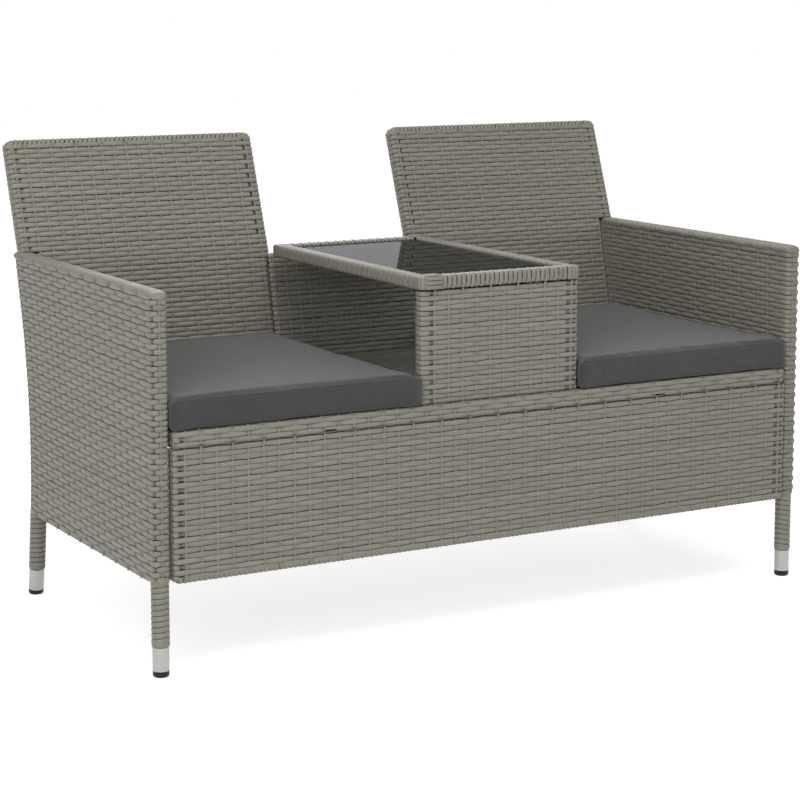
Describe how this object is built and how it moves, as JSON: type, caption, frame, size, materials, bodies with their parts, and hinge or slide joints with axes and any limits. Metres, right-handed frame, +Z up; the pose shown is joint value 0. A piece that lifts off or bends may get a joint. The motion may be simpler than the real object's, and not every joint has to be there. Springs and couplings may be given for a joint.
{
  "type": "garden bench",
  "caption": "patio companion bench in grey flat-strand rattan, with a glass-topped tea table between its seats, dark box cushions, wound legs and silver sleeves",
  "frame": {"origin": "on the floor under the middle of the bench", "axes": "+X to the viewer's right as the viewer in front sees it, +Y from front to back, +Z up"},
  "size_m": [1.33, 0.7132, 0.842],
  "materials": {
    "frame_steel": "black powder coat",
    "rattan": "grey flat strand with a fine grain",
    "sleeve_metal": "satin silver",
    "foot_plastic": "black moulded",
    "tinted_glass": "tinted tempered, polished edge",
    "pad_rubber": "clear-cut soft pads",
    "cushion_fabric": "dark grey plain weave",
    "cushion_foam": "open foam",
    "fastener_steel": "zinc plated"
  },
  "bodies": {
    "bench": {"left_arm_frame": "frame_steel", "right_arm_frame": "frame_steel", "seat_frame": "frame_steel", "seat_cross_tubes": "frame_steel", "back_frame": "frame_steel", "table_front_frame": "frame_steel", "table_rim_frame": "frame_steel", "glass_seat_left_tube": "frame_steel", "glass_seat_right_tube": "frame_steel", "glass_seat_front_tube": "frame_steel", "glass_seat_rear_tube": "frame_steel", "table_support_bars": "frame_steel", "left_arm_weave": "rattan", "right_arm_weave": "rattan", "seat_deck_weave": "rattan", "skirt_weave": "rattan", "left_back_weave": "rattan", "right_back_weave": "rattan", "middle_back_weave": "rattan", "table_front_weave": "rattan", "table_rim_left_winding": "rattan", "table_rim_right_winding": "rattan", "table_rim_front_winding": "rattan", "table_rim_rear_winding": "rattan", "front_left_leg_winding": "rattan", "front_right_leg_winding": "rattan", "rear_left_leg_winding": "rattan", "rear_right_leg_winding": "rattan", "front_left_leg_sleeve": "sleeve_metal", "front_right_leg_sleeve": "sleeve_metal", "rear_left_leg_sleeve": "sleeve_metal", "rear_right_leg_sleeve": "sleeve_metal", "front_left_foot_cap": "foot_plastic", "front_right_foot_cap": "foot_plastic", "rear_left_foot_cap": "foot_plastic", "rear_right_foot_cap": "foot_plastic", "arm_spacers": "foot_plastic", "glass_pads": "pad_rubber", "frame_bolts": "fastener_steel", "frame_bolt_washers": "fastener_steel", "threaded_inserts": "fastener_steel", "table_bar_screws": "fastener_steel", "table_ring_screws": "fastener_steel", "table_front_screws": "fastener_steel"},
    "left_cushion": {"left_cushion_cover": "cushion_fabric", "left_cushion_foam": "cushion_foam"},
    "right_cushion": {"right_cushion_cover": "cushion_fabric", "right_cushion_foam": "cushion_foam"},
    "glass": {"glass_top": "tinted_glass"}
  },
  "joints": [
    {"name": "left_cushion_lift", "type": "slide", "parent": "bench", "child": "left_cushion", "axis": [0, 0, 1], "range_m": [0, 0.24]},
    {"name": "right_cushion_lift", "type": "slide", "parent": "bench", "child": "right_cushion", "axis": [0, 0, 1], "range_m": [0, 0.24]},
    {"name": "glass_lift", "type": "slide", "parent": "bench", "child": "glass", "axis": [0, 0, 1], "range_m": [0, 0.04]}
  ]
}
